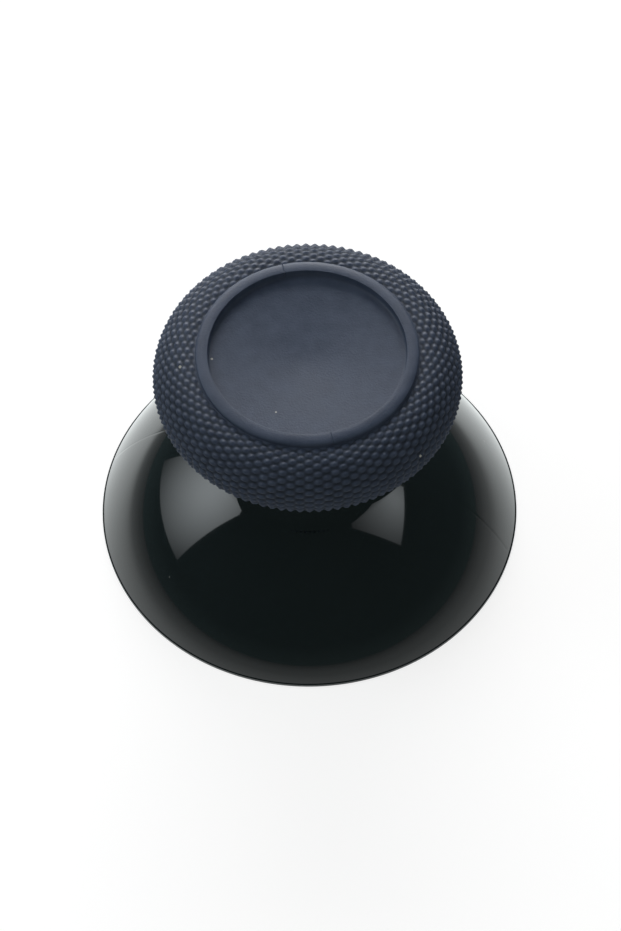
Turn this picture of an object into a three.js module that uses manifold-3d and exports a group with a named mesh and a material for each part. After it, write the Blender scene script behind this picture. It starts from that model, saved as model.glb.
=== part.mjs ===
// Thumb grip for the stick of a game controller, in millimetres, +Z up.
// The origin is the centre of the skirt's rim, on the plane that the rim stands on.

import * as THREE from 'three';
import { mergeVertices } from 'three/addons/utils/BufferGeometryUtils.js';
import Module from 'manifold-3d';

const wasm = await Module();
wasm.setup();

// Skirt: a dome shell, cut from a ball, with a small lip round its rim
const rimRadius = 10.6;
const rimLipHeight = 0.2;
const rimLipStep = 0.06;
const domeRise = 6.8;
const domeWall = 1.0;

// Neck between the dome and the grip
const neckRadius = 4.1;
const neckFillet = 1.8;
const neckHeight = 3.08;

// Core disc on top of the neck, which the grip is moulded over
const discRadius = 4.9;
const discThickness = 1.2;

// Boss under the dome, with a socket for the stick module's lever
const leverDiameter = 4.0;
const leverFlatDepth = 0.5;
const leverClearance = 0.05;
const socketDepth = 6.2;
const socketChamfer = 0.35;
const bossWall = 1.2;
const bossRecess = 2.4;
const bossFillet = 0.6;

// Grip: a round knurled rim, measured over the peaks of the knurl
const gripRadius = 7.61;
const gripTubeRadius = 1.85;
const gripFloor = 0.9;
const mouldGap = 0.25;

// Knurl: peaks and pits in a staggered net round the rim
const knurlDepth = 0.13;
const knurlPeaksPerRow = 50;
const knurlRows = 25;
const knurlEndAngle = -60;

// Smooth ring and the dish inside it
const ringOuterRadius = 5.45;
const ringWidth = 0.6;
const ringRise = 0.24;
const ringEdge = 0.07;
const dishStep = 0.4;
const dishDepth = 0.35;
const dishTipRounding = 0.15;

// Fineness of the round surfaces
const skirtSegments = 64;
const pocketSegments = 50;
const socketArcSegments = 12;
const chordError = 0.012;
const weldDistance = 1e-4;

// Sizes that follow from the ones above
const knurlColumns = 2 * knurlPeaksPerRow;
const domeBaseRadius = rimRadius - rimLipStep;
const domeRadius = (domeBaseRadius ** 2 + domeRise ** 2) / (2 * domeRise);
const domeTop = rimLipHeight + domeRise;
const domeCentre = domeTop - domeRadius;
const gripBottom = domeTop + neckHeight;
const gripTubeCentre = new THREE.Vector2(gripRadius - gripTubeRadius, gripBottom + gripTubeRadius);
const ringTop = gripBottom + 2 * gripTubeRadius + ringRise;
const ringInnerRadius = ringOuterRadius - ringWidth;
const discBottom = gripBottom + gripFloor;
const discTop = discBottom + discThickness;
const socketRadius = leverDiameter / 2 + leverClearance;
const socketHalfFlats = socketRadius - leverFlatDepth;
const bossRadius = socketRadius + bossWall;

const hardBlack = new THREE.MeshStandardMaterial({ color: 0x0d1214, roughness: 0.12, metalness: 0 });
const slateRubber = new THREE.MeshStandardMaterial({ color: 0x464c58, roughness: 0.6, metalness: 0 });

// Points of a round arc in the radius and height plane, angles in degrees
function arc(centre, radius, fromAngle, toAngle) {
  const widestStep = THREE.MathUtils.radToDeg(2 * Math.acos(1 - chordError / radius));
  const steps = Math.max(2, Math.ceil(Math.abs(toAngle - fromAngle) / widestStep));
  const points = [];
  for (let k = 0; k <= steps; k += 1) {
    const angle = THREE.MathUtils.degToRad(fromAngle + ((toAngle - fromAngle) * k) / steps);
    const offset = new THREE.Vector2(Math.cos(angle), Math.sin(angle)).multiplyScalar(radius);
    points.push(offset.add(centre));
  }
  return points;
}

// A profile that runs from the axis, outwards, up and back to the axis, turned round Z
function turned(profile, segments) {
  const geometry = new THREE.LatheGeometry(profile, segments);
  geometry.rotateX(Math.PI / 2);
  return geometry;
}

function toSolid(geometry) {
  const bare = geometry.clone();
  bare.deleteAttribute('normal');
  bare.deleteAttribute('uv');
  const merged = mergeVertices(bare, weldDistance);
  const corners = merged.index.array;
  const kept = [];
  for (let k = 0; k < corners.length; k += 3) {
    const triangle = [corners[k], corners[k + 1], corners[k + 2]];
    if (new Set(triangle).size === 3) {
      kept.push(...triangle);
    }
  }
  const mesh = new wasm.Mesh({
    numProp: 3,
    vertProperties: new Float32Array(merged.attributes.position.array),
    triVerts: new Uint32Array(kept),
  });
  return new wasm.Manifold(mesh);
}

function toGeometry(solid) {
  const mesh = solid.getMesh();
  const geometry = new THREE.BufferGeometry();
  geometry.setAttribute('position', new THREE.BufferAttribute(mesh.vertProperties, 3));
  geometry.setIndex(new THREE.BufferAttribute(mesh.triVerts, 1));
  geometry.computeVertexNormals();
  return geometry;
}

// Direction, in degrees, from the ball's centre to the centre of a fillet circle beside it
function filletPlace(ballRadius, centreRadius) {
  const height = Math.sqrt(ballRadius ** 2 - centreRadius ** 2);
  return {
    centre: new THREE.Vector2(centreRadius, domeCentre + height),
    angle: THREE.MathUtils.radToDeg(Math.atan2(height, centreRadius)),
  };
}

// Angle above the horizontal at which a ball round the dome's centre crosses a height
function ballAngle(ballRadius, height) {
  return THREE.MathUtils.radToDeg(Math.asin((height - domeCentre) / ballRadius));
}

// Boss, inner dome, rim, outer dome, neck and core disc as one profile
function stemProfile() {
  const ballCentre = new THREE.Vector2(0, domeCentre);
  const innerRadius = domeRadius - domeWall;
  const inner = filletPlace(innerRadius - bossFillet, bossRadius + bossFillet);
  const outer = filletPlace(domeRadius + neckFillet, neckRadius + neckFillet);
  return [
    new THREE.Vector2(0, bossRecess),
    new THREE.Vector2(bossRadius, bossRecess),
    ...arc(inner.centre, bossFillet, 180, inner.angle),
    ...arc(ballCentre, innerRadius, inner.angle, ballAngle(innerRadius, 0)).slice(1),
    new THREE.Vector2(rimRadius, 0),
    new THREE.Vector2(rimRadius, rimLipHeight),
    ...arc(ballCentre, domeRadius, ballAngle(domeRadius, rimLipHeight), outer.angle),
    ...arc(outer.centre, neckFillet, 180 + outer.angle, 180).slice(1),
    new THREE.Vector2(neckRadius, discBottom),
    new THREE.Vector2(discRadius, discBottom),
    new THREE.Vector2(discRadius, discTop),
    new THREE.Vector2(0, discTop),
  ];
}

// Round lever section with two flats, which face along Y
function leverSection() {
  const flatAngle = Math.asin(socketHalfFlats / socketRadius);
  const section = new THREE.Shape();
  section.absarc(0, 0, socketRadius, -flatAngle, flatAngle, false);
  section.absarc(0, 0, socketRadius, Math.PI - flatAngle, Math.PI + flatAngle, false);
  section.closePath();
  return section;
}

function leverSocket() {
  const bore = new THREE.ExtrudeGeometry(leverSection(), {
    depth: socketDepth + bossRecess,
    bevelEnabled: false,
    curveSegments: socketArcSegments,
  });
  const mouthRadius = socketRadius + socketChamfer;
  const mouth = turned([
    new THREE.Vector2(0, 0),
    new THREE.Vector2(mouthRadius + bossRecess, 0),
    new THREE.Vector2(mouthRadius - socketChamfer, bossRecess + socketChamfer),
    new THREE.Vector2(0, bossRecess + socketChamfer),
  ], pocketSegments);
  return toSolid(bore).add(toSolid(mouth));
}

function skirtStem() {
  const body = toSolid(turned(stemProfile(), skirtSegments));
  return toGeometry(body.subtract(leverSocket()));
}

// Height of the dish above its lowest point, as a shallow cone with a rounded tip
function dishHeight(radius) {
  const share = radius / ringInnerRadius;
  const cone = Math.hypot(share, dishTipRounding) - dishTipRounding;
  const fullCone = Math.hypot(1, dishTipRounding) - dishTipRounding;
  return (dishDepth * cone) / fullCone;
}

function dishProfile() {
  const floor = ringTop - dishStep - dishDepth;
  const stations = [1, 0.75, 0.5, 0.3, 0.15, 0];
  return stations.map((share) => {
    const radius = share * ringInnerRadius;
    return new THREE.Vector2(radius, floor + dishHeight(radius));
  });
}

// Smooth ring, from the top of its outer wall to the top of its inner wall
function ringProfile() {
  return [
    new THREE.Vector2(ringOuterRadius, ringTop - ringEdge),
    new THREE.Vector2(ringOuterRadius - ringEdge, ringTop),
    new THREE.Vector2(ringInnerRadius + ringEdge, ringTop),
    new THREE.Vector2(ringInnerRadius, ringTop - ringEdge),
  ];
}

// Angle round the rim's tube at which the ring's outer wall stands
function ringAngle() {
  const inward = (gripTubeCentre.x - ringOuterRadius) / gripTubeRadius;
  return 90 + THREE.MathUtils.radToDeg(Math.asin(THREE.MathUtils.clamp(inward, -1, 1)));
}

// The grip's profile, with the rows of its knurl counted from the bottom
function gripProfile() {
  const points = [new THREE.Vector2(0, gripBottom), new THREE.Vector2(gripTubeCentre.x, gripBottom)];
  points.push(...arc(gripTubeCentre, gripTubeRadius, -90, knurlEndAngle).slice(1));
  const firstKnurl = points.length;
  const startAngle = ringAngle();
  for (let row = 1; row <= knurlRows; row += 1) {
    const angle = knurlEndAngle + ((startAngle - knurlEndAngle) * row) / knurlRows;
    const radians = THREE.MathUtils.degToRad(angle);
    const offset = new THREE.Vector2(Math.cos(radians), Math.sin(radians));
    points.push(offset.multiplyScalar(gripTubeRadius).add(gripTubeCentre));
  }
  points.push(...ringProfile(), ...dishProfile());
  return { points, firstKnurl };
}

// Peaks and pits alternate along each row and from row to row
function isPit(row, column) {
  return (row + column) % 2 === 1;
}

// Presses the pits of the knurl into the turned body, towards the middle of the rim's tube
function pressKnurl(geometry, rowCount, firstKnurl) {
  const position = geometry.attributes.position;
  const share = 1 - knurlDepth / gripTubeRadius;
  for (let column = 0; column <= knurlColumns; column += 1) {
    const turn = (column / knurlColumns) * 2 * Math.PI;
    const middle = new THREE.Vector3(Math.sin(turn), -Math.cos(turn), 0);
    middle.multiplyScalar(gripTubeCentre.x).setZ(gripTubeCentre.y);
    for (let row = firstKnurl; row < firstKnurl + knurlRows; row += 1) {
      if (isPit(row, column)) {
        const index = column * rowCount + row;
        const vertex = new THREE.Vector3().fromBufferAttribute(position, index);
        vertex.lerpVectors(middle, vertex, share);
        position.setXYZ(index, vertex.x, vertex.y, vertex.z);
      }
    }
  }
}

// Splits each face from peak to peak, so that the peaks are joined by ridges
function ridgeFaces(rowCount) {
  const index = [];
  for (let column = 0; column < knurlColumns; column += 1) {
    for (let row = 0; row < rowCount - 1; row += 1) {
      const a = column * rowCount + row;
      const b = a + rowCount;
      const c = b + 1;
      const d = a + 1;
      if (isPit(row, column)) {
        index.push(a, b, d, c, d, b);
      } else {
        index.push(a, b, c, a, c, d);
      }
    }
  }
  return index;
}

// Pocket for the core disc, open downwards round the neck
function discPocket() {
  const below = gripBottom - gripFloor;
  return toSolid(turned([
    new THREE.Vector2(0, below),
    new THREE.Vector2(neckRadius + mouldGap, below),
    new THREE.Vector2(neckRadius + mouldGap, discBottom),
    new THREE.Vector2(discRadius + mouldGap, discBottom),
    new THREE.Vector2(discRadius + mouldGap, discTop),
    new THREE.Vector2(0, discTop),
  ], pocketSegments));
}

function gripCap() {
  const { points, firstKnurl } = gripProfile();
  const geometry = turned(points, knurlColumns);
  pressKnurl(geometry, points.length, firstKnurl);
  geometry.setIndex(ridgeFaces(points.length));
  return toGeometry(toSolid(geometry).subtract(discPocket()));
}

function piece(name, geometry, material) {
  const mesh = new THREE.Mesh(geometry, material);
  mesh.name = name;
  return mesh;
}

const group = new THREE.Group();
group.add(piece('skirt_stem', skirtStem(), hardBlack));
group.add(piece('grip_cap', gripCap(), slateRubber));

export default group;
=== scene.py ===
import math

import bmesh
import bpy
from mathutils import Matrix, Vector


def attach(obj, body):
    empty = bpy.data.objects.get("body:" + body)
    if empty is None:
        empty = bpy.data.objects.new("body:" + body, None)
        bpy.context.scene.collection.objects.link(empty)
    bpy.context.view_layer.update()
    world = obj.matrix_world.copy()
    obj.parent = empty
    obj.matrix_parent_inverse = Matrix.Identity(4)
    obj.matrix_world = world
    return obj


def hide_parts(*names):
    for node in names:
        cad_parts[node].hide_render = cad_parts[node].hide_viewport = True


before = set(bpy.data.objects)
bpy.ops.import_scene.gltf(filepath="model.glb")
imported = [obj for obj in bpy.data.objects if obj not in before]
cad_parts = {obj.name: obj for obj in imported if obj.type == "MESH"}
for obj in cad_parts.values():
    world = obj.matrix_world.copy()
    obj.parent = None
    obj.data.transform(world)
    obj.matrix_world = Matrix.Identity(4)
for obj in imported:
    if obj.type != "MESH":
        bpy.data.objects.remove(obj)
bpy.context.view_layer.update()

mm = 0.001
mergeDistance = 0.0000005  # in metres
print("frame loaded:", ", ".join(sorted(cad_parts)))


# small helpers for modelling in edit mode
def clearSelection():
    bpy.ops.object.select_all(action="DESELECT")


def openPiece(name):
    # names the primitive that was just added and opens it in edit mode
    piece = bpy.context.object
    piece.name = name
    piece.data.name = name
    bpy.ops.object.transform_apply(location=True, rotation=True, scale=True)
    bpy.ops.object.mode_set(mode="EDIT")
    bpy.ops.mesh.select_mode(type="VERT")
    return piece


def pickPoints(piece, isWanted):
    # selects the points whose place passes the test, and the edges between them
    bpy.ops.mesh.select_all(action="DESELECT")
    mesh = bmesh.from_edit_mesh(piece.data)
    for point in mesh.verts:
        if isWanted(point.co):
            point.select = True
    mesh.select_flush(True)
    bmesh.update_edit_mesh(piece.data)


def nearCircle(radius, height, slack=0.002):
    # test for points on one circle round the axis, in millimetres
    def isNear(place):
        onRadius = abs(math.hypot(place.x, place.y) / mm - radius) < slack
        return onRadius and abs(place.z / mm - height) < slack
    return isNear


def growRings(start, spots):
    # extrudes the selected loop from one radius and height to the next
    radius, height = start
    for nextRadius, nextHeight in spots:
        bpy.ops.mesh.extrude_region_move(
            TRANSFORM_OT_translate={"value": (0, 0, (nextHeight - height) * mm)})
        if nextRadius == 0:
            bpy.ops.mesh.merge(type="CENTER")
            return
        if nextRadius != radius:
            share = nextRadius / radius
            bpy.ops.transform.resize(value=(share, share, 1), center_override=(0, 0, 0))
        radius, height = nextRadius, nextHeight


def arcSpots(centre, radius, fromAngle, toAngle, steps):
    # radius and height of the points along an arc, without its first point
    spots = []
    for k in range(1, steps + 1):
        angle = math.radians(fromAngle + (toAngle - fromAngle) * k / steps)
        spots.append((centre[0] + radius * math.cos(angle), centre[1] + radius * math.sin(angle)))
    return spots


def cutSeam(piece, azimuth, halfWidth, isOnSeam, rise):
    # three parallel cuts; the middle one runs through the axis and is lifted or sunk
    turn = math.radians(azimuth + 90)
    across = Vector((math.cos(turn), math.sin(turn), 0))
    for offset in (-halfWidth, 0, halfWidth):
        pickPoints(piece, isOnSeam)
        bpy.ops.mesh.bisect(plane_co=across * offset * mm, plane_no=across, threshold=0.0000001)
    pickPoints(piece, lambda place: abs(place.dot(across)) < mergeDistance and isOnSeam(place))
    bpy.ops.transform.shrink_fatten(value=rise * mm)


def finishPiece(piece, angle):
    bpy.ops.mesh.select_all(action="SELECT")
    bpy.ops.mesh.remove_doubles(threshold=mergeDistance)
    bpy.ops.mesh.normals_make_consistent(inside=False)
    bpy.ops.object.mode_set(mode="OBJECT")
    bpy.ops.object.shade_smooth_by_angle(angle=math.radians(angle))


# camera, at the photograph's angle
cameraSetup = {
    "place": (0, -116.734, 179.854),
    "turn": (33.5746, 0.4242, -0.6787),
    "lens": 161.7,
    "sensorHeight": 36,
    "clip": (0.01, 20),
}

bpy.ops.object.camera_add(
    location=[value * mm for value in cameraSetup["place"]],
    rotation=[math.radians(value) for value in cameraSetup["turn"]])
camera = bpy.context.object
camera.name = "camera"
camera.data.sensor_fit = "VERTICAL"
camera.data.sensor_height = cameraSetup["sensorHeight"]
camera.data.lens = cameraSetup["lens"]
camera.data.clip_start, camera.data.clip_end = cameraSetup["clip"]
bpy.context.scene.camera = camera
print("camera placed")


# skirt, neck and core disc in one moulding, with the socket under it (millimetres)
skirt = {
    "segments": 256,
    "rimRadius": 10.6,
    "lipHeight": 0.2,
    "lipStep": 0.06,
    "lipRounding": 0.03,
    "domeRise": 6.8,
    "wall": 1.0,
    "neckRadius": 4.1,
    "neckFillet": 1.8,
    "neckHeight": 3.08,
    "gripFloor": 0.9,
    "discRadius": 4.9,
    "discThickness": 1.2,
    "bossRadius": 3.25,
    "bossRecess": 2.4,
    "bossFillet": 0.6,
    "socketRadius": 2.05,
    "socketHalfFlats": 1.55,
    "socketDepth": 6.2,
    "socketChamfer": 0.35,
    "seamAzimuth": 163.4,
    "seamHalfWidth": 0.035,
    "seamRise": 0.006,
    "bossEdge": 0.12,
    "outerDomeSteps": 34,
    "neckFilletSteps": 14,
    "innerDomeSteps": 24,
    "bossFilletSteps": 6,
    "smoothAngle": 35,
}


def flattenSocket(piece, s):
    # presses the round socket and its chamfer onto two flats, which makes it a double D
    slack = 0.01
    mouth = s["bossRecess"]
    mouthRadius = s["socketRadius"] + s["socketChamfer"]
    socketTop = mouth + s["socketDepth"]
    levels = (
        (mouth - slack, mouth + slack, s["socketHalfFlats"] + s["socketChamfer"]),
        (mouth + slack, socketTop + slack, s["socketHalfFlats"]),
    )
    for side in (1, -1):
        for lowest, highest, halfFlats in levels:

            def isPastFlat(place):
                inSocket = math.hypot(place.x, place.y) / mm < mouthRadius + slack
                onLevel = lowest < place.z / mm < highest
                return inSocket and onLevel and side * place.y / mm > halfFlats

            pickPoints(piece, isPastFlat)
            bpy.ops.transform.resize(value=(1, 0, 1), center_override=(0, side * halfFlats * mm, 0))


def buildSkirt(s):
    baseRadius = s["rimRadius"] - s["lipStep"]
    domeRadius = (baseRadius ** 2 + s["domeRise"] ** 2) / (2 * s["domeRise"])
    domeTop = s["lipHeight"] + s["domeRise"]
    domeCentre = (0, domeTop - domeRadius)
    innerRadius = domeRadius - s["wall"]

    def filletPlace(ballRadius, centreRadius):
        height = math.sqrt(ballRadius ** 2 - centreRadius ** 2)
        angle = math.degrees(math.atan2(height, centreRadius))
        return (centreRadius, domeCentre[1] + height), angle

    def ballAngle(ballRadius, height):
        return math.degrees(math.asin((height - domeCentre[1]) / ballRadius))

    neckPlace, neckAngle = filletPlace(
        domeRadius + s["neckFillet"], s["neckRadius"] + s["neckFillet"])
    bossPlace, bossAngle = filletPlace(
        innerRadius - s["bossFillet"], s["bossRadius"] + s["bossFillet"])
    discBottom = domeTop + s["neckHeight"] + s["gripFloor"]
    discTop = discBottom + s["discThickness"]
    socketTop = s["bossRecess"] + s["socketDepth"]
    soft = s["lipRounding"]

    outside = [
        (s["rimRadius"], soft),
        (s["rimRadius"], s["lipHeight"] - soft),
        (s["rimRadius"] - soft, s["lipHeight"]),
        (baseRadius, s["lipHeight"]),
    ]
    lipAngle = ballAngle(domeRadius, s["lipHeight"])
    outside += arcSpots(domeCentre, domeRadius, lipAngle, neckAngle, s["outerDomeSteps"])
    outside += arcSpots(neckPlace, s["neckFillet"], 180 + neckAngle, 180, s["neckFilletSteps"])
    outside += [
        (s["neckRadius"], discBottom),
        (s["discRadius"], discBottom),
        (s["discRadius"], discTop),
        (0, discTop),
    ]
    innerBase = ballAngle(innerRadius, 0)
    inside = [(innerRadius * math.cos(math.radians(innerBase)), 0)]
    inside += arcSpots(domeCentre, innerRadius, innerBase, bossAngle, s["innerDomeSteps"])
    inside += arcSpots(bossPlace, s["bossFillet"], bossAngle, 180, s["bossFilletSteps"])
    inside += [
        (s["bossRadius"], s["bossRecess"] + s["bossEdge"]),
        (s["bossRadius"] - s["bossEdge"], s["bossRecess"]),
        (s["socketRadius"] + s["socketChamfer"], s["bossRecess"]),
        (s["socketRadius"], s["bossRecess"] + s["socketChamfer"]),
        (s["socketRadius"], socketTop),
        (0, socketTop),
    ]

    clearSelection()
    start = (s["rimRadius"] - soft, 0)
    bpy.ops.mesh.primitive_circle_add(vertices=s["segments"], radius=start[0] * mm)
    piece = openPiece("skirt")
    bpy.ops.mesh.select_all(action="SELECT")
    growRings(start, outside)
    pickPoints(piece, nearCircle(start[0], 0))
    growRings(start, inside)
    flattenSocket(piece, s)

    def isOuterDome(place):
        fromCentre = math.hypot(place.x / mm, place.y / mm, place.z / mm - domeCentre[1])
        return place.z / mm > s["lipHeight"] + 0.05 and abs(fromCentre - domeRadius) < 0.02

    cutSeam(piece, s["seamAzimuth"], s["seamHalfWidth"], isOuterDome, s["seamRise"])
    finishPiece(piece, s["smoothAngle"])
    return piece


skirtPiece = buildSkirt(skirt)
print("skirt built:", len(skirtPiece.data.polygons), "faces")


# grip: knurled rim, ring, dish and flat underside (millimetres)
grip = {
    "radius": 7.61,
    "tubeRadius": 1.85,
    "bottom": 10.08,
    "columns": 700,
    "rows": 169,
    "firstRow": -28,
    "lastRow": 47,
    "pitDepth": 0.205,
    "beadsRound": 50,
    "meshRowsPerBead": 6,
    "sharpness": 0.96,
    "grooveShare": 0.2,
    "fadeFrom": 40,
    "fadeTo": 95,
    "fadeShare": 0.6,
    "ringOuter": 5.45,
    "ringInner": 4.85,
    "ringRise": 0.24,
    "outerRounding": 0.12,
    "crownWidth": 0.4,
    "innerRounding": 0.012,
    "dishStep": 0.4,
    "dishDepth": 0.35,
    "dishTip": 0.15,
    "neckHole": 4.12,
    "discHole": 4.92,
    "floor": 0.9,
    "discThickness": 1.2,
    "seamAzimuth": 102.5,
    "seamHalfWidth": 0.03,
    "seamDepth": 0.03,
    "crownSteps": 5,
    "innerRoundingSteps": 3,
    "dishCorner": 0.03,
    "dishRings": (0.985, 0.96, 0.9, 0.8, 0.7, 0.6, 0.5, 0.4, 0.3, 0.22, 0.16, 0.11, 0.07, 0.03),
    "undersideSteps": 6,
    "undersideRadius": 5.0,
    "neckHoleEdge": 0.05,
    "pocketSlack": 0.02,
    "smoothAngle": 70,
}


def tubeAngleAt(g, place):
    # 0 at the widest place of the rim and 90 on top of it
    middle = g["radius"] - g["tubeRadius"]
    outward = math.hypot(place.x, place.y) / mm - middle
    upward = place.z / mm - g["bottom"] - g["tubeRadius"]
    return math.degrees(math.atan2(upward, outward))


def pitAt(g, place):
    # 0 on top of a bead and 1 in the middle of a pit; beads and pits stand in staggered rows
    meshRow = tubeAngleAt(g, place) * g["rows"] / 360 - g["firstRow"]
    if meshRow < 0.5 or meshRow > g["lastRow"] - g["firstRow"] - 0.5:
        return 0
    aroundAxis = math.atan2(place.y, place.x) * g["beadsRound"]
    alongTube = 2 * math.pi * meshRow / g["meshRowsPerBead"]

    def wave(angle):
        # a rounded saw-tooth from 0 to 1
        return 0.5 + math.asin(g["sharpness"] * math.cos(angle)) / (2 * math.asin(g["sharpness"]))

    beads = (wave(aroundAxis + alongTube) + wave(aroundAxis - alongTube)) / 2
    groove = 0.5 - 0.5 * math.cos(2 * aroundAxis)  # between two lines of beads
    return 1 - beads + g["grooveShare"] * (groove * beads - (1 - groove) * (1 - beads))


def pressAt(g, place):
    # shallower towards the ring
    tubeAngle = tubeAngleAt(g, place)
    fade = min(1, max(0, (tubeAngle - g["fadeFrom"]) / (g["fadeTo"] - g["fadeFrom"])))
    return pitAt(g, place) * (1 - g["fadeShare"] * fade)


def pressPits(piece, g):
    # a vertex group holds how deep each point goes, and Displace presses them in
    group = piece.vertex_groups.new(name="pits")
    for point in piece.data.vertices:
        group.add([point.index], pressAt(g, point.co), "REPLACE")
    modifier = piece.modifiers.new("knurl", "DISPLACE")
    modifier.direction = "NORMAL"
    modifier.mid_level = 0
    modifier.strength = -g["pitDepth"] * mm
    modifier.vertex_group = group.name
    bpy.context.view_layer.objects.active = piece
    bpy.ops.object.modifier_apply(modifier=modifier.name)
    piece.vertex_groups.clear()


def buildGrip(g):
    middle = g["radius"] - g["tubeRadius"]
    height = g["bottom"] + g["tubeRadius"]
    step = 360 / g["rows"]
    clearSelection()
    bpy.ops.mesh.primitive_circle_add(
        vertices=g["rows"], radius=g["tubeRadius"] * mm,
        location=(middle * mm, 0, height * mm), rotation=(math.radians(90), math.radians(90), 0))
    piece = openPiece("grip")

    def isHidden(place):
        outward = math.hypot(place.x, place.y) / mm - middle
        row = math.degrees(math.atan2(place.z / mm - height, outward)) / step
        return row < g["firstRow"] - 0.5 or row > g["lastRow"] + 0.5

    pickPoints(piece, isHidden)
    bpy.ops.mesh.delete(type="VERT")
    bpy.ops.mesh.select_all(action="SELECT")
    bpy.ops.mesh.spin(steps=g["columns"], angle=2 * math.pi, center=(0, 0, 0), axis=(0, 0, 1))
    bpy.ops.mesh.select_all(action="SELECT")
    bpy.ops.mesh.remove_doubles(threshold=mergeDistance)
    bpy.ops.mesh.normals_make_consistent(inside=False)
    bpy.ops.object.mode_set(mode="OBJECT")
    pressPits(piece, g)
    bpy.ops.object.mode_set(mode="EDIT")

    def tubeSpot(row):
        angle = math.radians(row * step)
        outward, upward = math.cos(angle), math.sin(angle)
        return (middle + g["tubeRadius"] * outward, height + g["tubeRadius"] * upward)

    ringTop = g["bottom"] + 2 * g["tubeRadius"] + g["ringRise"]
    soft, crisp = g["outerRounding"], g["innerRounding"]
    dishEdge = ringTop - g["dishStep"]
    upper = [(g["ringOuter"], tubeSpot(g["lastRow"])[1]), (g["ringOuter"], ringTop - soft)]
    for k in range(1, g["crownSteps"] + 1):
        turn = math.radians(90 * k / g["crownSteps"])
        inward = g["crownWidth"] * (1 - math.cos(turn))
        upper.append((g["ringOuter"] - inward, ringTop - soft * (1 - math.sin(turn))))
    upper.append((g["ringInner"] + crisp, ringTop))
    upper += arcSpots(
        (g["ringInner"] + crisp, ringTop - crisp), crisp, 90, 180, g["innerRoundingSteps"])
    upper.append((g["ringInner"], dishEdge + g["dishCorner"]))
    fullSlope = math.hypot(1, g["dishTip"]) - g["dishTip"]
    for share in g["dishRings"]:
        slope = math.hypot(share, g["dishTip"]) - g["dishTip"]
        upper.append((share * g["ringInner"], dishEdge - g["dishDepth"] * (1 - slope / fullSlope)))
    upper.append((0, dishEdge - g["dishDepth"]))

    startAngle = g["firstRow"] * step
    pocketBottom = g["bottom"] + g["floor"]
    pocketTop = pocketBottom + g["discThickness"] + g["pocketSlack"]
    lower = arcSpots((middle, height), g["tubeRadius"], startAngle, -90, g["undersideSteps"])
    lower += [
        (g["undersideRadius"], g["bottom"]),
        (g["neckHole"] + g["neckHoleEdge"], g["bottom"]),
        (g["neckHole"], g["bottom"] + g["neckHoleEdge"]),
        (g["neckHole"], pocketBottom),
        (g["discHole"], pocketBottom),
        (g["discHole"], pocketTop),
        (0, pocketTop),
    ]
    topLoop = tubeSpot(g["lastRow"])
    bottomLoop = tubeSpot(g["firstRow"])
    pickPoints(piece, nearCircle(*topLoop))
    growRings(topLoop, upper)
    pickPoints(piece, nearCircle(*bottomLoop))
    growRings(bottomLoop, lower)

    def isOnRing(place):
        radius = math.hypot(place.x, place.y) / mm
        onRing = g["ringInner"] - 0.01 < radius < g["ringOuter"] + 0.01
        return onRing and place.z / mm > dishEdge

    cutSeam(piece, g["seamAzimuth"], g["seamHalfWidth"], isOnRing, -g["seamDepth"])
    finishPiece(piece, g["smoothAngle"])

    def isPastRing(place):
        return math.hypot(place.x, place.y) / mm > g["ringOuter"] + 0.005

    # the pit mask stays on the mesh so that slateRubber can paint shade into the pits with it
    pits = piece.data.attributes.new("pitShade", "FLOAT", "POINT")
    pits.data.foreach_set("value", [
        pitAt(g, point.co) if isPastRing(point.co) else 0 for point in piece.data.vertices])
    return piece


gripPiece = buildGrip(grip)
print("grip built:", len(gripPiece.data.polygons), "faces")


# node groups that both finishes use
def addSockets(group, inputNames, outputNames):
    for direction, names in (("INPUT", inputNames), ("OUTPUT", outputNames)):
        for name in names:
            group.interface.new_socket(name=name, in_out=direction, socket_type="NodeSocketFloat")


def buildGrainGroup():
    # two sizes of noise: a fine one for the surface and a broad one for its tone
    group = bpy.data.node_groups.new("mouldGrain", "ShaderNodeTree")
    addSockets(group, ("Fine Scale", "Broad Scale"), ("Height", "Tone"))
    nodes, links = group.nodes, group.links
    inputs = nodes.new("NodeGroupInput")
    outputs = nodes.new("NodeGroupOutput")
    place = nodes.new("ShaderNodeTexCoord")
    fine = nodes.new("ShaderNodeTexNoise")
    fine.inputs["Detail"].default_value = 3
    fine.inputs["Roughness"].default_value = 0.6
    broad = nodes.new("ShaderNodeTexNoise")
    broad.inputs["Detail"].default_value = 4
    broad.inputs["Roughness"].default_value = 0.55
    links.new(place.outputs["Object"], fine.inputs["Vector"])
    links.new(place.outputs["Object"], broad.inputs["Vector"])
    links.new(inputs.outputs["Fine Scale"], fine.inputs["Scale"])
    links.new(inputs.outputs["Broad Scale"], broad.inputs["Scale"])
    links.new(fine.outputs["Fac"], outputs.inputs["Height"])
    links.new(broad.outputs["Fac"], outputs.inputs["Tone"])
    return group


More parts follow.
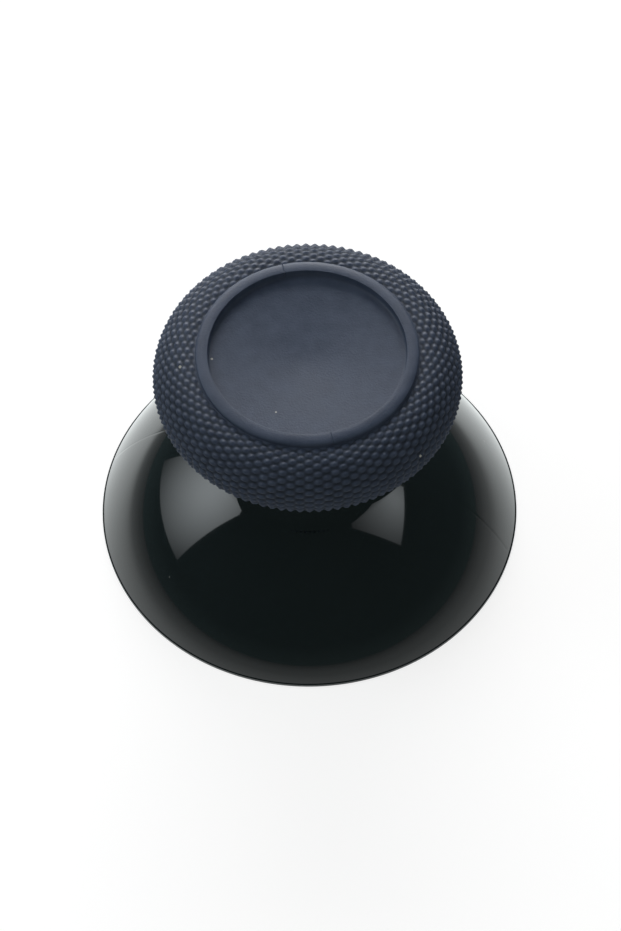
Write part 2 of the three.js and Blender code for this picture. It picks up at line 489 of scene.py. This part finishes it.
def buildSpeckGroup():
    # a few small specks of dust: cells whose number is high enough, near their middle
    group = bpy.data.node_groups.new("dustSpecks", "ShaderNodeTree")
    addSockets(group, ("Scale", "Size", "Rarity"), ("Mask",))
    nodes, links = group.nodes, group.links
    inputs = nodes.new("NodeGroupInput")
    outputs = nodes.new("NodeGroupOutput")
    place = nodes.new("ShaderNodeTexCoord")
    cells = nodes.new("ShaderNodeTexVoronoi")
    links.new(place.outputs["Object"], cells.inputs["Vector"])
    links.new(inputs.outputs["Scale"], cells.inputs["Scale"])
    small = nodes.new("ShaderNodeMath")
    small.operation = "LESS_THAN"
    links.new(cells.outputs["Distance"], small.inputs[0])
    links.new(inputs.outputs["Size"], small.inputs[1])
    number = nodes.new("ShaderNodeSeparateColor")
    links.new(cells.outputs["Color"], number.inputs["Color"])
    rare = nodes.new("ShaderNodeMath")
    rare.operation = "GREATER_THAN"
    links.new(number.outputs["Red"], rare.inputs[0])
    links.new(inputs.outputs["Rarity"], rare.inputs[1])
    both = nodes.new("ShaderNodeMath")
    both.operation = "MULTIPLY"
    links.new(small.outputs[0], both.inputs[0])
    links.new(rare.outputs[0], both.inputs[1])
    links.new(both.outputs[0], outputs.inputs["Mask"])
    return group


grainGroup = buildGrainGroup()
speckGroup = buildSpeckGroup()


# finishes
def newMaterial(name):
    material = bpy.data.materials.new(name)
    material.use_nodes = True
    nodes, links = material.node_tree.nodes, material.node_tree.links
    return material, nodes, links, nodes["Principled BSDF"]


def addGroup(nodes, group, values):
    node = nodes.new("ShaderNodeGroup")
    node.node_tree = group
    for name, value in values.items():
        node.inputs[name].default_value = value
    return node


def mixColours(nodes, links, factor, first, second):
    # first and second are either colours or sockets
    mix = nodes.new("ShaderNodeMix")
    mix.data_type = "RGBA"
    links.new(factor, mix.inputs["Factor"])
    for value, socket in ((first, mix.inputs[6]), (second, mix.inputs[7])):
        if isinstance(value, tuple):
            socket.default_value = value
        else:
            links.new(value, socket)
    return mix.outputs[2]


def mapRange(nodes, links, source, fromLow, fromHigh, toLow, toHigh):
    node = nodes.new("ShaderNodeMapRange")
    ends = {"From Min": fromLow, "From Max": fromHigh, "To Min": toLow, "To Max": toHigh}
    for name, value in ends.items():
        node.inputs[name].default_value = value
    links.new(source, node.inputs["Value"])
    return node.outputs["Result"]


rubber = {
    "dark": (0.0302, 0.0448, 0.082, 1),
    "light": (0.0468, 0.0652, 0.111, 1),
    # painted shade: a near-black colour that darkens the pits, where shade falls
    "pitShade": (0.006, 0.010, 0.013, 1),
    "dust": (0.45, 0.45, 0.42, 1),
    "roughness": (0.46, 0.56),
    "pitRoughness": 0.9,
    "fineScale": 9000,
    "broadScale": 1400,
    "bumpStrength": 0.6,
    "bumpDistance": 0.02,
    "specks": {"Scale": 1300, "Size": 0.09, "Rarity": 0.96},
    "toneRange": (0.3, 0.7),
    "pitRange": (0.4, 0.8),
    "pitShadeShare": 0.78,
    "specular": 0.42,
}


def buildRubber(r):
    material, nodes, links, shader = newMaterial("slateRubber")
    grain = addGroup(
        nodes, grainGroup, {"Fine Scale": r["fineScale"], "Broad Scale": r["broadScale"]})
    specks = addGroup(nodes, speckGroup, r["specks"])
    tone = mapRange(nodes, links, grain.outputs["Tone"], *r["toneRange"], 0, 1)
    body = mixColours(nodes, links, tone, r["dark"], r["light"])
    # painted shade: the pits are darkened towards a near-black colour in place of the shade inside
    # them, and the same mask makes them rougher
    pitShade = nodes.new("ShaderNodeAttribute")
    pitShade.attribute_name = "pitShade"
    deep = mapRange(nodes, links, pitShade.outputs["Fac"], *r["pitRange"], 0, r["pitShadeShare"])
    pitShaded = mixColours(nodes, links, deep, body, r["pitShade"])
    dusty = mixColours(nodes, links, specks.outputs["Mask"], pitShaded, r["dust"])
    links.new(dusty, shader.inputs["Base Color"])
    polish = nodes.new("ShaderNodeMix")
    polish.inputs[3].default_value = r["pitRoughness"]
    links.new(deep, polish.inputs["Factor"])
    smoothness = mapRange(nodes, links, grain.outputs["Tone"], *r["toneRange"], *r["roughness"])
    links.new(smoothness, polish.inputs[2])
    links.new(polish.outputs[0], shader.inputs["Roughness"])
    bump = nodes.new("ShaderNodeBump")
    bump.inputs["Strength"].default_value = r["bumpStrength"]
    bump.inputs["Distance"].default_value = r["bumpDistance"] * mm
    links.new(grain.outputs["Height"], bump.inputs["Height"])
    links.new(bump.outputs["Normal"], shader.inputs["Normal"])
    shader.inputs["Specular IOR Level"].default_value = r["specular"]
    return material


gloss = {
    "dark": (0.0046, 0.0078, 0.0090, 1),
    "light": (0.0060, 0.0096, 0.0108, 1),
    "dust": (0.30, 0.30, 0.29, 1),
    "roughness": (0.045, 0.075),
    "fineScale": 1500,
    "broadScale": 160,
    "bumpStrength": 0.15,
    "bumpDistance": 0.004,
    "specks": {"Scale": 1000, "Size": 0.05, "Rarity": 0.93},
    "toneRange": (0.3, 0.7),
    "coatWeight": 1,
    "coatRoughness": 0.03,
}


def buildGloss(p):
    material, nodes, links, shader = newMaterial("glossBlack")
    grain = addGroup(
        nodes, grainGroup, {"Fine Scale": p["fineScale"], "Broad Scale": p["broadScale"]})
    specks = addGroup(nodes, speckGroup, p["specks"])
    tone = mapRange(nodes, links, grain.outputs["Tone"], *p["toneRange"], 0, 1)
    body = mixColours(nodes, links, tone, p["dark"], p["light"])
    dusty = mixColours(nodes, links, specks.outputs["Mask"], body, p["dust"])
    links.new(dusty, shader.inputs["Base Color"])
    smoothness = mapRange(nodes, links, grain.outputs["Tone"], *p["toneRange"], *p["roughness"])
    links.new(smoothness, shader.inputs["Roughness"])
    bump = nodes.new("ShaderNodeBump")
    bump.inputs["Strength"].default_value = p["bumpStrength"]
    bump.inputs["Distance"].default_value = p["bumpDistance"] * mm
    links.new(grain.outputs["Tone"], bump.inputs["Height"])
    links.new(bump.outputs["Normal"], shader.inputs["Normal"])
    shader.inputs["Coat Weight"].default_value = p["coatWeight"]
    shader.inputs["Coat Roughness"].default_value = p["coatRoughness"]
    return material


rubberMaterial = buildRubber(rubber)
glossMaterial = buildGloss(gloss)
for piece, material in ((skirtPiece, glossMaterial), (gripPiece, rubberMaterial)):
    piece.data.materials.clear()
    piece.data.materials.append(material)
print("finishes made")


# studio: pale floor, soft panels, and a dim room that only reflections see
studio = {
    "floorSize": 6,
    "floorGlow": 0.79,
    "farFloorGlow": 0.97,
    "farFloor": (90, 500),
    "floorSeenColour": 0.33,
    "floorReflectedColour": 0.05,
    "floorColour": 0.85,
    "poolCentre": (-2.2, 25.3),
    "poolStretch": (1, 0.65),
    "poolReach": 120,
    "poolFade": ((0.1375, 1), (0.158, 0.9), (0.182, 0.65), (0.204, 0.41), (0.226, 0.285),
                 (0.292, 0.206), (0.425, 0.144), (1, 0.1)),
    "poolColour": (0.95, 1, 1, 1),
    "worldLight": 0.2,
    "roomRadius": 0.6,
    "roomSegments": 48,
    "roomRings": 24,
    "roomGlow": (0.1, 0.058),
    "roomRise": 110,
    "roomColour": (0.72, 1, 1, 1),
    "panelColour": (0.90, 0.97, 1, 1),
}


def seenRays(nodes, links):
    # 1 for rays from the camera and for reflected or refracted ones
    path = nodes.new("ShaderNodeLightPath")
    total = path.outputs["Is Camera Ray"]
    for name in ("Is Glossy Ray", "Is Transmission Ray"):
        larger = nodes.new("ShaderNodeMath")
        larger.operation = "MAXIMUM"
        links.new(total, larger.inputs[0])
        links.new(path.outputs[name], larger.inputs[1])
        total = larger.outputs[0]
    return path, total


def buildFloorMaterial(s):
    # seen straight it is white with a soft shadow; in reflections it is a pool of light that fades
    material, nodes, links, shader = newMaterial("paleFloor")
    nodes.remove(shader)
    output = nodes["Material Output"]
    path, seen = seenRays(nodes, links)
    plain = nodes.new("ShaderNodeBsdfDiffuse")
    shade = mapRange(nodes, links, seen, 0, 1, s["floorColour"], s["floorSeenColour"])
    darker = nodes.new("ShaderNodeMath")
    darker.operation = "SUBTRACT"
    links.new(shade, darker.inputs[0])
    drop = s["floorSeenColour"] - s["floorReflectedColour"]
    links.new(
        mapRange(nodes, links, path.outputs["Is Glossy Ray"], 0, 1, 0, drop), darker.inputs[1])
    links.new(darker.outputs[0], plain.inputs["Color"])
    place = nodes.new("ShaderNodeTexCoord")
    fromPool = nodes.new("ShaderNodeVectorMath")
    fromPool.operation = "SUBTRACT"
    fromPool.inputs[1].default_value = (s["poolCentre"][0] * mm, s["poolCentre"][1] * mm, 0)
    links.new(place.outputs["Object"], fromPool.inputs[0])
    stretched = nodes.new("ShaderNodeVectorMath")
    stretched.operation = "MULTIPLY"
    stretched.inputs[1].default_value = (*s["poolStretch"], 1)
    links.new(fromPool.outputs["Vector"], stretched.inputs[0])
    distance = nodes.new("ShaderNodeVectorMath")
    distance.operation = "LENGTH"
    links.new(stretched.outputs["Vector"], distance.inputs[0])
    fade = nodes.new("ShaderNodeValToRGB")
    stops = fade.color_ramp.elements
    stops.remove(stops[0])
    stops[0].position = 0
    for spot, level in s["poolFade"]:
        stops.new(spot).color = (level, level, level, 1)
    links.new(
        mapRange(nodes, links, distance.outputs["Value"], 0, s["poolReach"] * mm, 0, 1),
        fade.inputs["Fac"])
    outwards = nodes.new("ShaderNodeVectorMath")
    outwards.operation = "LENGTH"
    links.new(place.outputs["Object"], outwards.inputs[0])
    near, far = s["farFloor"]
    seenGlow = mapRange(
        nodes, links, outwards.outputs["Value"], near * mm, far * mm,
        s["floorGlow"], s["farFloorGlow"])
    white = nodes.new("ShaderNodeMix")
    links.new(path.outputs["Is Glossy Ray"], white.inputs["Factor"])
    links.new(seenGlow, white.inputs[2])
    links.new(fade.outputs["Color"], white.inputs[3])
    level = nodes.new("ShaderNodeMath")
    level.operation = "MULTIPLY"
    links.new(white.outputs[0], level.inputs[0])
    links.new(seen, level.inputs[1])
    glow = nodes.new("ShaderNodeEmission")
    links.new(
        mixColours(nodes, links, path.outputs["Is Glossy Ray"], (1, 1, 1, 1), s["poolColour"]),
        glow.inputs["Color"])
    links.new(level.outputs[0], glow.inputs["Strength"])
    both = nodes.new("ShaderNodeAddShader")
    links.new(plain.outputs[0], both.inputs[0])
    links.new(glow.outputs[0], both.inputs[1])
    links.new(both.outputs[0], output.inputs["Surface"])
    return material


def buildRoomMaterial(s):
    # a little lighter near the floor
    material, nodes, links, shader = newMaterial("dimRoom")
    nodes.remove(shader)
    place = nodes.new("ShaderNodeTexCoord")
    split = nodes.new("ShaderNodeSeparateXYZ")
    links.new(place.outputs["Object"], split.inputs["Vector"])
    level = mapRange(nodes, links, split.outputs["Z"], 0, s["roomRise"] * mm, *s["roomGlow"])
    glow = nodes.new("ShaderNodeEmission")
    glow.inputs["Color"].default_value = s["roomColour"]
    links.new(level, glow.inputs["Strength"])
    links.new(glow.outputs[0], nodes["Material Output"].inputs["Surface"])
    return material


clearSelection()
bpy.ops.mesh.primitive_plane_add(size=studio["floorSize"])
floor = bpy.context.object
floor.name = "floor"
floor.data.materials.append(buildFloorMaterial(studio))

clearSelection()
bpy.ops.mesh.primitive_uv_sphere_add(
    segments=studio["roomSegments"], ring_count=studio["roomRings"], radius=studio["roomRadius"])
room = openPiece("dimRoom")
bpy.ops.mesh.select_all(action="SELECT")
bpy.ops.mesh.bisect(plane_co=(0, 0, -mm), plane_no=(0, 0, -1), clear_outer=True)
bpy.ops.object.mode_set(mode="OBJECT")
room.data.materials.append(buildRoomMaterial(studio))
room.visible_camera = False
room.visible_diffuse = False
room.visible_shadow = False

# soft panels: corners as azimuth, counted from the camera's side towards +X, and elevation, both
# seen from a point on the part's axis; that point's height, distance and reach in mm
panelEye = 5
panels = {
    "leftPanel": {
        "corners": ((-124, 7), (-78.5, 14), (-79, 68), (-128, 60)),
        "distance": 250,
        "strength": 3.7,
        "hotSpot": (-104, 40),
        "reach": 198,
    },
    "rightPanel": {
        "corners": ((67, 37), (107, 42), (112, 68), (45, 66)),
        "distance": 250,
        "strength": 1.5,
        "hotSpot": (93, 47),
        "reach": 180,
    },
}


def panelPoint(azimuth, elevation, distance):
    turn, lift = math.radians(azimuth), math.radians(elevation)
    flat = distance * math.cos(lift)
    height = panelEye + distance * math.sin(lift)
    return Vector((math.sin(turn) * flat, -math.cos(turn) * flat, height)) * mm


def buildPanelMaterial(name, p):
    # brightest where its lamp stands behind it; the light falls with the square towards the edges
    material, nodes, links, shader = newMaterial(name)
    nodes.remove(shader)
    place = nodes.new("ShaderNodeTexCoord")
    fromLamp = nodes.new("ShaderNodeVectorMath")
    fromLamp.operation = "DISTANCE"
    fromLamp.inputs[1].default_value = panelPoint(*p["hotSpot"], p["distance"])
    links.new(place.outputs["Object"], fromLamp.inputs[0])
    falloff = nodes.new("ShaderNodeMath")
    falloff.operation = "POWER"
    falloff.inputs[1].default_value = 2
    links.new(
        mapRange(nodes, links, fromLamp.outputs["Value"], 0, p["reach"] * mm, 1, 0),
        falloff.inputs[0])
    level = nodes.new("ShaderNodeMath")
    level.operation = "MULTIPLY"
    level.inputs[1].default_value = p["strength"]
    links.new(falloff.outputs[0], level.inputs[0])
    glow = nodes.new("ShaderNodeEmission")
    glow.inputs["Color"].default_value = studio["panelColour"]
    links.new(level.outputs[0], glow.inputs["Strength"])
    links.new(glow.outputs[0], nodes["Material Output"].inputs["Surface"])
    return material


def buildPanel(name, p):
    clearSelection()
    bpy.ops.mesh.primitive_plane_add(size=1)
    panel = openPiece(name)
    mesh = bmesh.from_edit_mesh(panel.data)
    around = sorted(mesh.verts, key=lambda point: math.atan2(point.co.y, point.co.x))
    for point, corner in zip(around, p["corners"]):
        point.co = panelPoint(corner[0], corner[1], p["distance"])
    bmesh.update_edit_mesh(panel.data)
    bpy.ops.object.mode_set(mode="OBJECT")
    panel.data.materials.append(buildPanelMaterial(name, p))
    panel.visible_camera = False
    return panel


panelPieces = [buildPanel(name, values) for name, values in panels.items()]

# soft lamps: azimuth counted from +X towards +Y, distance and size in mm
lamps = {
    "backLamp": {"azimuth": 93, "elevation": 22, "distance": 300, "size": 220, "power": 0.92},
    "keyLamp": {"azimuth": 135, "elevation": 60, "distance": 300, "size": 100, "power": 0.05},
    "fillLamp": {"azimuth": 268, "elevation": 9, "distance": 300, "size": 200, "power": 0.14,
                 "colour": (1, 0.93, 0.65), "inReflections": False},
}


def addSoftLight(name, values):
    turn, lift = math.radians(values["azimuth"]), math.radians(values["elevation"])
    flat = math.cos(lift)
    towards = Vector((math.cos(turn) * flat, math.sin(turn) * flat, math.sin(lift)))
    bpy.ops.object.light_add(type="AREA", location=towards * values["distance"] * mm)
    lamp = bpy.context.object
    lamp.name = name
    lamp.data.size = values["size"] * mm
    lamp.data.energy = values["power"]
    lamp.data.color = values.get("colour", (1, 1, 1))
    lamp.rotation_euler = towards.to_track_quat("Z", "Y").to_euler()
    lamp.visible_glossy = values.get("inReflections", True)
    return lamp


for name, values in lamps.items():
    addSoftLight(name, values)


def buildWorld(s):
    # white where it is seen, and a low even light on everything else
    world = bpy.data.worlds.new("studioWorld")
    world.use_nodes = True
    nodes, links = world.node_tree.nodes, world.node_tree.links
    background = nodes["Background"]
    background.inputs["Color"].default_value = (1, 1, 1, 1)
    path, seen = seenRays(nodes, links)
    links.new(mapRange(nodes, links, seen, 0, 1, s["worldLight"], 1), background.inputs["Strength"])
    bpy.context.scene.world = world


buildWorld(studio)
bpy.context.scene.view_settings.view_transform = "Standard"
print("studio set")


# tie the pieces to the part's body
for piece, node, slot in (
        (skirtPiece, "skirt_stem", "stem_plastic"),
        (gripPiece, "grip_cap", "grip_rubber")):
    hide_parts(node)
    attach(piece, "root")
